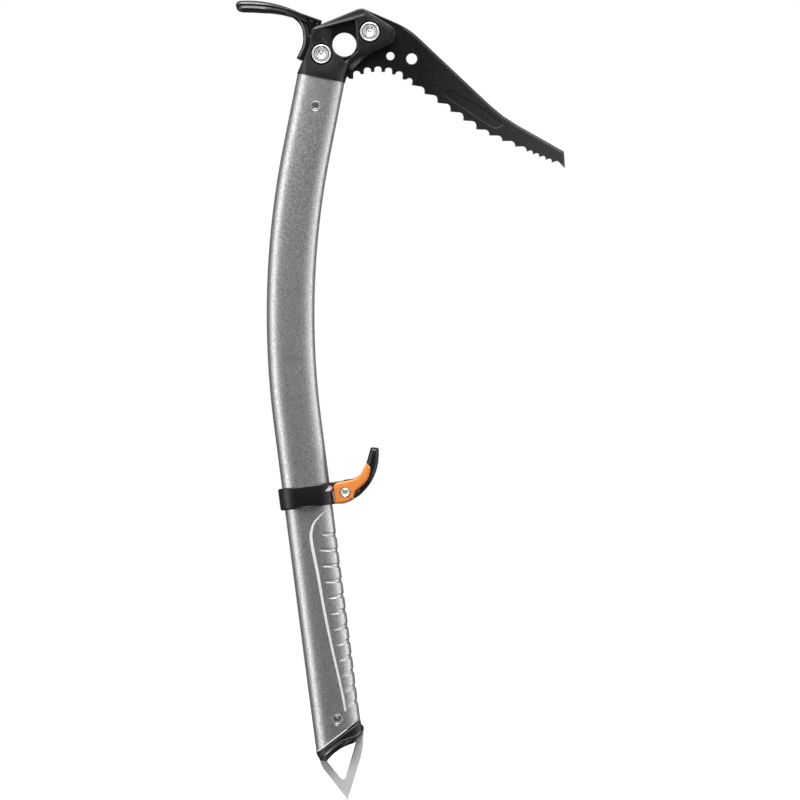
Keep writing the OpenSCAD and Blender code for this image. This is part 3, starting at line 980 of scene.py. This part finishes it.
def blade_outline():
    """The blade in plan, as (x, y): a bowed cutting edge with round corners, and flaring sides."""
    side = rounded([(bow_at(0), 0), (bow_at(ADZE_HALF), ADZE_HALF, 4.5), (-54.5, ADZE_HALF - 0.5, 20),
                    (-38, 15.2, 15), (-24, 7.6), (-24, 0)])[1:-1]
    bow = [(bow_at(y), y) for y in np.linspace(0, ADZE_HALF - 5, 12)]
    half = np.array([*bow, *side])
    return np.vstack([half, (half * [1, -1])[1:][::-1]])


def blade_level(p, radius):
    """Height of the dished ring's surface over the plan."""
    r = BLADE_RADIUS - DISH_RADIUS + np.sqrt(radius ** 2 - p[:, 1] ** 2)
    return BLADE_CENTRE[1] + np.sqrt(r ** 2 - (p[:, 0] - BLADE_CENTRE[0]) ** 2)


def blade():
    """The dished blade, a shell over its plan, a little thinner along the cutting edge."""
    def edge_taper(p):
        return np.clip(1 - (p[:, 0] - bow_at(p[:, 1])) / 7, 0, 1)

    def top(p, d):
        level = blade_level(p, DISH_RADIUS) - round_drop(d, 3.0)
        return np.column_stack([p[:, 0], p[:, 1], level])

    def under(p, d):
        level = blade_level(p, DISH_RADIUS - BLADE_THICK) + round_drop(d, 0.7) + 0.4 * edge_taper(p)
        return np.column_stack([p[:, 0], p[:, 1], level])

    return shell(blade_outline(), top, under, gap=0.9, rows=(0.1, 0.3, 0.7, 1.2, 2.0, 3.0))


ROOT_OUTLINE = [
    (-40, 24.7), (-14.6, 15.7, 0.6), (-15.6, 13.3, 0.6), (-20.4, 11.4, 3.5), (-24.1, -2.9, 40),
    (-27.9, -10.7, 0.5), (-31.4, -9.1, 0.5), (-26.6, 1, 16), (-28, 13, 12), (-40, 22.8)
]


def root_height(p, d):
    """Half the root's width: a rounded strap with a groove beside its curved inner edge."""
    inner = rounded([(-31, -30), ROOT_OUTLINE[6][:2], *ROOT_OUTLINE[7:], (-60, 30)])
    away = line_distance(p, inner[1:-1])
    height = 8.0 - np.maximum(round_drop(d, 0.6), 0.67 * np.clip(1.7 - away, 0, 1.1))
    groove = np.exp(-((away - 2.7) / 0.4) ** 2)
    web = step((away - 2.6) / 1.2) * step((p[:, 1] - 2) / 5)
    top = line_distance(p, [ROOT_OUTLINE[0], ROOT_OUTLINE[1][:2]])
    return height - 0.35 * groove - 1.2 * web * step((top - 2.2) / 1.2)


def adze_root():
    return plate(rounded(ROOT_OUTLINE), root_height, gap=0.7, rows=(0.12, 0.3, 0.6, 1.7, 2.3, 2.8))


# ---- fasteners ----

def marked_ring(radius, depth, marks):
    """A radius that steps a little at evenly spaced marks."""
    return lambda t: radius - depth * (math.cos(marks * t) > 0.3)


def bolt_head(at, side):
    """A round bolt head with a raised rim, a ring of fine ticks and a hex socket."""
    face, seat = BOLT_FACE, BOLT_FACE - BOLT_THICK
    socket = hexagon(1.5)
    profile = [
        (0.01, face - 1.9), (0.7, face - 1.85), (socket, face - 1.3), (3.1, face - 0.1),
        (3.35, face - 0.1), (3.45, face - 0.6), (marked_ring(3.75, 0.1, 24), face - 0.6),
        (marked_ring(3.9, 0.2, 24), face - 0.15), (4.5, face - 0.15), (4.6, face - 0.7),
        (5.15, face - 0.7), (5.25, face - 0.15), (5.5, face), (5.95, face - 0.02), (6.2, face - 0.15),
        (BOLT_HEAD, face - 0.4), (BOLT_HEAD, seat), (BOLT_SHANK, seat), (BOLT_SHANK, -face + 0.9),
        (BOLT_SHANK - 0.3, -face + 0.6), (0.01, -face + 0.6)
    ]
    return turned(at, profile, side)


def nut_head(at):
    """The nut's thin round head on the far side, round the bolt's end."""
    face, seat = BOLT_FACE, BOLT_FACE - BOLT_THICK
    profile = [
        (BOLT_SHANK + 0.05, seat), (BOLT_SHANK + 0.05, face - 0.35), (BOLT_SHANK + 0.35, face - 0.08),
        (BOLT_SHANK + 0.6, face - 0.05), (5.0, face - 0.05), (marked_ring(5.15, 0.1, 24), face - 0.25),
        (marked_ring(5.45, 0.1, 24), face - 0.25), (5.6, face), (5.9, face), (6.2, face - 0.15),
        (BOLT_HEAD, face - 0.45), (BOLT_HEAD, seat)
    ]
    return turned(at, profile, 1, ring=True)


def rivet(at):
    """A rivet through the tube: a flat rim round a dimple with a small nub, on both sides."""
    reach = HALF_WIDTH - 0.05
    near = [
        (0.01, reach - 2.0), (1.0, reach - 2.1), (1.7, reach - 1.9), (2.1, reach - 1.2),
        (2.4, reach - 0.3), (2.7, reach), (3.1, reach + 0.08), (3.6, reach + 0.02), (3.9, reach - 0.16),
        (RIVET_RADIUS, reach - 0.4)
    ]
    return turned(at, near + [(r, -y) for r, y in reversed(near)], count=48)


# ---- foot ----

SPIKE_OUTLINE = [
    (2.3, -497, 0.5), (12.2, -465, 40), (13.1, -448), (-3, -452), (-17.4, -467), (-15, -475, 12)
]
EYE_OUTLINE = [(8.3, -456.5, 1.5), (-0.3, -484.9, 1.6), (-13.5, -468.8, 1.5)]
FERRULE_OUTLINE = [
    (10.4, -443.4), (11.3, -447.3, 0.5), (13.2, -448.6, 1), (12.4, -451.9, 2), (6.3, -459.4, 1.2),
    (-4.6, -462.8, 30), (-11.3, -471.2, 0.8), (-16.1, -470.5, 1.5), (-18.1, -467.2, 0.8), (-18.6, -465.5)
]
RIB = [(-16.5, -470), (-13.4, -467.4), (-6.2, -460.9), (2.4, -456.6), (9, -455)]
FERRULE_GROW = 1.2         # beyond the tube, all round
FERRULE_SHIFT = 0.6        # forward of the tube's axis
SPIKE_HALF = 2.5
POINT_HALF = 0.8
POINT_FROM = (-479, 17)    # where the spike starts to thin, and over what length


def spike_height(p, d):
    """Half the spike's thickness, thinning to its point, with softened edges."""
    near_point = step((POINT_FROM[0] - p[:, 1]) / POINT_FROM[1])
    return SPIKE_HALF - (SPIKE_HALF - POINT_HALF) * near_point - round_drop(d, 0.5)


def spike():
    return plate(rounded(SPIKE_OUTLINE), spike_height, holes=[rounded(EYE_OUTLINE)], gap=1.2,
                 rows=(0.1, 0.25, 0.5, 1.0))


def grip_local(p):
    """(down, forward) on the grip of row-frame points."""
    axis = np.array([math.sin(GRIP_TILT), -math.cos(GRIP_TILT)])
    return (p - GRIP_START) @ axis, (p - GRIP_START) @ np.array([-axis[1], axis[0]])


def ferrule_height(p, d):
    """Half the ferrule's width: the tube's oval, a step down below the seam and a curved rib."""
    down, forward = grip_local(p)
    side = oval_side(forward - FERRULE_SHIFT, FERRULE_GROW)
    from_cut = (down - CUT_DISTANCE + forward * CUT_SLOPE) / math.hypot(1, CUT_SLOPE)
    off_rib = step(line_distance(p, smooth_line(RIB, 6))) * (from_cut < 6.5)
    side = side - 0.7 * step((1.2 - from_cut) / 0.8 + 0.4) - 0.6 * off_rib
    return np.maximum(side - round_drop(d, 0.8) * (from_cut > 1.5), 0.3)


def spike_ferrule():
    return plate(rounded(FERRULE_OUTLINE), ferrule_height, gap=0.7,
                 rows=(0.06, 0.15, 0.3, 0.55, 0.9, 1.4, 2.0), lines=[smooth_line(RIB[1:-1], 6)])


# ---- hand rest ----

def band_path():
    """The band's middle line round the tube, as (forward, side), from one ear's end to the other's."""
    grow = BAND_GAP + BAND_THICK / 2
    middle = (EAR_INNER + EAR_OUTER) / 2
    start = math.acos((14.2 / (HALF_DEPTH + grow)) ** (OVAL_POWER / 2))
    ring = oval_points(np.linspace(start, 2 * math.pi - start, 90), grow)
    arm = [(x, middle) for x in (EAR_END, 31.0, 29.5, 27.5, 25.0, 22.5, 20.0, 18.8)]
    arm += [(17.6, middle + 0.02), (16.8, middle + 0.1), (16.0, middle + 0.6), (15.25, middle + 1.85)]
    return np.vstack([arm, ring, arm[::-1] * np.array([1, -1])])


def band_section(height, thick, radius):
    """A rounded rectangle as (across, along the grip)."""
    corner = np.array([thick / 2 - radius, height / 2 - radius])
    quarters = (([1, 1], 0), ([-1, 1], 90), ([-1, -1], 180), ([1, -1], 270))
    return np.vstack([arc(corner * way, radius, start, start + 90, 5) for way, start in quarters])


def band_shell(thick):
    """A strap on the band's path: lower towards its ears' ends, and as thin as the ears on them."""
    path = band_path()
    along = unit_rows(np.gradient(path, axis=0))
    across = np.column_stack([along[:, 1], -along[:, 0]])
    rows = []
    for (forward, side), aside in zip(path, across):
        nose = np.clip((forward - EAR_END + EAR_ROUND) / (EAR_ROUND + 0.01), 0, 1)
        height = BAND_HEIGHT - EAR_NARROWS * (1 - math.sqrt(1 - nose ** 2))
        wide = min(thick, EAR_OUTER - EAR_INNER + 0.5 * np.clip((20 - forward) / 2, 0, 1))
        section = band_section(height, wide, wide * 0.48)
        f = forward + aside[0] * section[:, 0]
        s = side + aside[1] * section[:, 0]
        down = BAND_TOP + BAND_HEIGHT / 2 - section[:, 1]
        rows.append(on_grip(down, f, s))
    return ring_shell(rows, closed=False)


WINDOWS = [  # through the band's sides, as (forward, down): a wedge and a slot
    [(11.8, 47.7), (15.8, 43.9), (17.8, 45.4), (16.3, 47.6)],
    [(16.9, 48.2), (18.1, 48.2), (18.1, 55.4), (16.9, 55.4)]
]


def rest_band():
    """The strap with its windows, let in on both sides where the cheeks swing past it."""
    strap = carved(band_shell(BAND_THICK), [grip_prism(window) for window in WINDOWS])
    spans = ((CHEEK_ROOM, FAR), (-FAR, -CHEEK_ROOM))
    return carved(strap, [turned(PIVOT_AT, [(HEEL_SWEEP, a), (HEEL_SWEEP, b)]) for a, b in spans])


def rest_liner():
    """What shows in the band's windows: the pale lining, a little below the band's skin."""
    thin = band_shell(BAND_THICK - 0.7)
    return joined(*[carved(thin, [grip_prism(window)], "INTERSECT") for window in WINDOWS])


def grip_prism(outline):
    """A prism right through the grip, over an outline given as (forward, down)."""
    forward, down = np.array(outline, float).T
    return ring_shell([on_grip(down, forward, side) for side in (-FAR, FAR)], closed=False)


def carved(made, cutters, operation="DIFFERENCE"):
    """A closed shell with others cut out of it, or only what it shares with them."""
    pieces = []
    for points, faces in [made, joined(*cutters)]:
        mesh = bpy.data.meshes.new("carving")
        mesh.from_pydata(np.asarray(points).tolist(), [], faces)
        pieces.append(bpy.data.objects.new("carving", mesh))
        bpy.context.scene.collection.objects.link(pieces[-1])
    cut = pieces[0].modifiers.new("cut", "BOOLEAN")
    cut.operation = operation
    cut.solver = "EXACT"
    cut.object = pieces[1]
    done = pieces[0].evaluated_get(bpy.context.evaluated_depsgraph_get()).to_mesh()
    points = np.array([v.co[:] for v in done.vertices])
    faces = [tuple(f.vertices) for f in done.polygons]
    for piece in pieces:
        bpy.data.objects.remove(piece)
    return points, faces


SHOE_HALF = (3.65, 6.1)    # half width and half height
SHOE_FRONT = HALF_DEPTH + 2.05


def rest_shoe():
    """The pressure pad in front of the tube: a rounded block, hollowed to fit the oval."""
    middle = BAND_TOP + BAND_HEIGHT / 2
    outline = rounded([(SHOE_HALF[0] * x, middle + SHOE_HALF[1] * z, 1)
                       for x, z in ((-1, -1), (1, -1), (1, 1), (-1, 1))])

    def front(p, d):
        return on_grip(p[:, 1], SHOE_FRONT - round_drop(d, 0.6), p[:, 0])

    def back(p, d):
        side = np.abs(p[:, 0]) / (HALF_WIDTH + BAND_GAP)
        hollow = (HALF_DEPTH + BAND_GAP) * (1 - side ** OVAL_POWER) ** (1 / OVAL_POWER)
        return on_grip(p[:, 1], hollow + 0.02, p[:, 0])

    return shell(outline, front, back, gap=0.8, rows=(0.15, 0.6))


PIVOT_AT = np.array(along_shaft(-PIVOT[1], PIVOT[0]))

CHEEK_OUTLINE = [
    (-8.1, 5.8, 3.5), (-6.8, -7.5, 0.8), (0.2, -7.3, 9), (5.4, -4.2, 0.8), (6.5, 0.2, 0.8),
    (15.4, 7.6, 14), (17.1, 16.5, 0.8), (13.9, 19.4, 0.5), (9.2, 9.4, 12)
]
HOOK_OUTLINE = [
    (4.6, 8.9), (9, 9.7, 10), (13.9, 19.4, 20), (16.8, 29.8, 1.4), (22.1, 29.3, 1.4), (22, 9.5, 34),
    (6.9, -4.2, 0.8), (7.9, -1.9), (8.2, 0.8), (7.6, 3.6), (6.2, 6.4)
]
SKIN_OUTLINE = [(5.8, -4.1), (7.6, -3.1), (9.6, -1.8), (9.6, 1.6), (6.8, 0.1)]
CAM_OUTLINE = [
    (-7, 3.7, 5), (-6, -7.1, 1), (3, -6, 4), (11, 2, 6), (10, 9.8, 2), (4.4, 9.0), (-1, 8.2, 0.8)
]


def at_pivot(outline):
    """Points of an outline that is given from the lever's pivot."""
    return rounded([(x + PIVOT_AT[0], z + PIVOT_AT[1], *r) for x, z, *r in outline])


def hook_height(p, d):
    """Half the hook's width: crowned sides, let in where the cheeks lie."""
    height = CHEEK_OUTER - 0.1 - round_drop(d, 3.6)
    return np.where(depth_inside(p, at_pivot(CHEEK_OUTLINE)) > -0.12, CHEEK_INNER - 0.05, height)


def cheek_borders(outline):
    """Two lines just outside the cheek, as far as they lie within an outline."""
    cheek = at_pivot(CHEEK_OUTLINE)
    kept = []
    for margin in (0.10, 0.16):
        line = looped(cheek + margin * outward(cheek))
        within = depth_inside(line, outline) > 0.3
        runs = np.split(np.arange(len(line)), np.where(np.diff(within.astype(int)) != 0)[0] + 1)
        kept += [line[run] for run in runs if within[run[0]] and len(run) > 2]
    return kept


def lever_core():
    """The black hook, the cam between the ears, and a skin beside each cheek."""
    outline = at_pivot(HOOK_OUTLINE)
    hook = plate(outline, hook_height, gap=0.7, rows=(0.1, 0.35, 0.8, 1.4, 2.1, 2.9),
                 lines=cheek_borders(outline))
    cam = plate(at_pivot(CAM_OUTLINE), lambda p, d: EAR_INNER - 0.3 - round_drop(d, 0.4), gap=1.2,
                rows=(0.12, 0.4))
    skin = plate(at_pivot(SKIN_OUTLINE), lambda p, d: CHEEK_OUTER - 0.1 - round_drop(d, 0.5),
                 back=lambda p, d: np.full(len(p), -CHEEK_INNER - 0.05), gap=0.7, rows=(0.1, 0.4))
    return joined(hook, cam, skin, mirrored(skin))


def cheek():
    """The near cheek: an inlaid side plate with a soft edge and a seat for the screw."""
    def outer(p, d):
        radius = np.hypot(*(p - PIVOT_AT).T)
        rise = CHEEK_OUTER - round_drop(d, 1.4) + 0.02
        return np.where(radius < SCREW_RADIUS + 0.45, CHEEK_OUTER - 1.4, rise)

    def inner(p, d):
        return np.full(len(p), -CHEEK_INNER)

    seat = [looped(circle(PIVOT_AT, SCREW_RADIUS + more, 48)) for more in (0.5, 0.42)]
    return plate(at_pivot(CHEEK_OUTLINE), outer, back=inner, gap=0.7, rows=(0.1, 0.3, 0.7, 1.3),
                 lines=seat)


def screw(side):
    """Pivot screw or barrel nut: a small domed head with a hex socket, on a plain shank."""
    face = CHEEK_OUTER + 0.02
    socket = hexagon(1.55)
    profile = [
        (0.01, face - 1.1), (socket, face - 1.1), (socket, face - 0.35), (2.0, face - 0.15), (2.3, face),
        (2.75, face - 0.05), (3.0, face - 0.2), (SCREW_RADIUS, face - 0.5), (SCREW_RADIUS, face - 1.3),
        (2.45, face - 1.3), (2.45, 0.1), (0.01, 0.1)
    ]
    return turned(PIVOT_AT, profile, side, 48)


# ---- the pieces ----

add_piece("shaft", shaft(), "shaft_metal", "axe", ["shaft_tube"], sharp=40)
# The cut edge's light is a painted highlight: a pale ring over the tube's end.
add_piece("cut_rim", cut_rim(), None, "axe", material=rim_highlight_paint())
line = grip_line()
PAINT = line_paint()
add_piece("grip_line_near", line, None, "axe", material=PAINT)
add_piece("grip_line_far", mirrored(line), None, "axe", material=PAINT)
add_piece("head", head_block(), "forged_black", "axe", ["head_block"], sharp=17)
add_piece("pick_plate", pick(), "pick_steel", "axe", ["pick"], sharp=22)
add_piece("adze_blade", joined(blade(), adze_root()), "adze_black", "axe", ["adze"], sharp=32)
for name, at in (("front", FRONT_BOLT), ("rear", REAR_BOLT)):
    add_piece(f"{name}_bolt_turned", bolt_head(at, -1), "bolt_steel", "axe", [f"{name}_bolt"])
    add_piece(f"{name}_nut_turned", nut_head(at), "bolt_steel", "axe", [f"{name}_nut"])
for name, at in (("head", HEAD_RIVET), ("spike", SPIKE_RIVET)):
    add_piece(f"{name}_rivet_turned", rivet(at), "rivet_steel", "axe", [f"{name}_rivet"], sharp=50)
add_piece("spike_plate", spike(), "spike_steel", "axe", ["spike"])
add_piece("ferrule", spike_ferrule(), "black_plastic", "axe", ["spike_ferrule"], sharp=35)
add_piece("rest_strap", rest_band(), "black_plastic", "rest", ["rest_band"], sharp=35)
add_piece("rest_pad", joined(rest_shoe(), rest_liner()), "pale_plastic", "rest", ["rest_shoe"])
add_piece("lever_hook", lever_core(), "black_plastic", "lever", ["lever_core"])
near_cheek = cheek()
add_piece("cheek_near", near_cheek, "orange_plastic", "lever", ["lever_cheek_near"])
add_piece("cheek_far", mirrored(near_cheek), "orange_plastic", "lever", ["lever_cheek_far"])
add_piece("pivot_screw", screw(-1), "bolt_steel", "lever", ["rest_screw"])
add_piece("pivot_nut", screw(1), "bolt_steel", "lever", ["rest_nut"])


# ---- stage, light and camera ----

CAMERA_DISTANCE = 8000.0
SENSOR_WIDTH = 36.0
VIEW_CENTRE = (36.6, -233.8)
VIEW_WIDTH = 526.4
SHAFT_MIDDLE = (-13.4, -233.8)
SPIKE_MIDDLE = (-1.0, -475.0)


def pale_floor():
    """A pale floor just under the spike, lit from within enough to stay even."""
    level = cad_low[2] - 1 * MM
    bpy.ops.mesh.primitive_plane_add(size=8, location=(0, 0, level))
    floor = bpy.context.object
    floor.name = "floor"
    paint = Paint("floor", grey(0.9), roughness=0.9, Emission_Color=(1, 1, 1, 1),
                  Emission_Strength=0.9)
    floor.data.materials.append(paint.material)
    floor.visible_glossy = False
    floor.visible_diffuse = False


def softbox(name, angle, distance_m, width, height, power, lift=0.0, target=SHAFT_MIDDLE, spread=180):
    """An area light that faces a target. angle is from the camera, to the right."""
    middle = Vector((target[0] * MM, 0, target[1] * MM))
    a, up = math.radians(angle), math.radians(lift)
    away = Vector((math.sin(a) * math.cos(up), -math.cos(a) * math.cos(up), math.sin(up)))
    light = bpy.data.lights.new(name, "AREA")
    light.shape = "RECTANGLE"
    light.size, light.size_y = width, height
    light.energy = power
    light.spread = math.radians(spread)
    lamp = bpy.data.objects.new(name, light)
    lamp.location = middle + away * distance_m
    lamp.rotation_mode = "QUATERNION"
    lamp.rotation_quaternion = away.to_track_quat("Z", "Y")
    lamp.visible_camera = False
    bpy.context.scene.collection.objects.link(lamp)


def studio_world():
    """White for the camera, and a soft grey room for everything that the metal reflects."""
    world = bpy.data.worlds.new("studio")
    bpy.context.scene.world = world
    world.use_nodes = True
    tree = world.node_tree
    room = tree.nodes["Background"]
    room.inputs["Color"].default_value = (1, 1, 1, 1)
    room.inputs["Strength"].default_value = 0.14
    white = tree.nodes.new("ShaderNodeBackground")
    white.inputs["Strength"].default_value = 1.0
    white.inputs["Color"].default_value = (1, 1, 1, 1)
    path = tree.nodes.new("ShaderNodeLightPath")
    mix = tree.nodes.new("ShaderNodeMixShader")
    tree.links.new(path.outputs["Is Camera Ray"], mix.inputs["Fac"])
    tree.links.new(room.outputs["Background"], mix.inputs[1])
    tree.links.new(white.outputs["Background"], mix.inputs[2])
    tree.links.new(mix.outputs["Shader"], tree.nodes["World Output"].inputs["Surface"])


def camera():
    data = bpy.data.cameras.new("camera")
    data.sensor_width = SENSOR_WIDTH
    data.lens = SENSOR_WIDTH * CAMERA_DISTANCE / VIEW_WIDTH
    data.clip_end = 100
    view = bpy.data.objects.new("camera", data)
    view.location = (VIEW_CENTRE[0] * MM, -CAMERA_DISTANCE * MM, VIEW_CENTRE[1] * MM)
    view.rotation_euler = (math.radians(90), 0, 0)
    bpy.context.scene.collection.objects.link(view)
    bpy.context.scene.camera = view


pale_floor()
softbox("left_softbox", -72, 1.6, 1.3, 1.8, 7.4)
softbox("left_strip", -66, 1.6, 0.2, 2.8, 7)
softbox("left_high", -68, 1.6, 0.7, 0.7, 4, lift=47)
softbox("right_softbox", 70, 1.6, 1.3, 1.8, 5.6)
softbox("right_strip", 92, 1.6, 0.5, 1.8, 6)
softbox("right_high", 50, 1.6, 1.0, 0.7, 4, lift=48)
softbox("top_softbox", 0, 1.6, 1.6, 1.0, 46, lift=64)
softbox("back_strip", 180, 1.74, 1.0, 0.16, 1.4, lift=35)
softbox("foot_softbox", 0, 0.6, 0.3, 0.2, 0.7, lift=-45, target=SPIKE_MIDDLE, spread=60)
studio_world()
camera()
bpy.context.scene.view_settings.view_transform = "Standard"
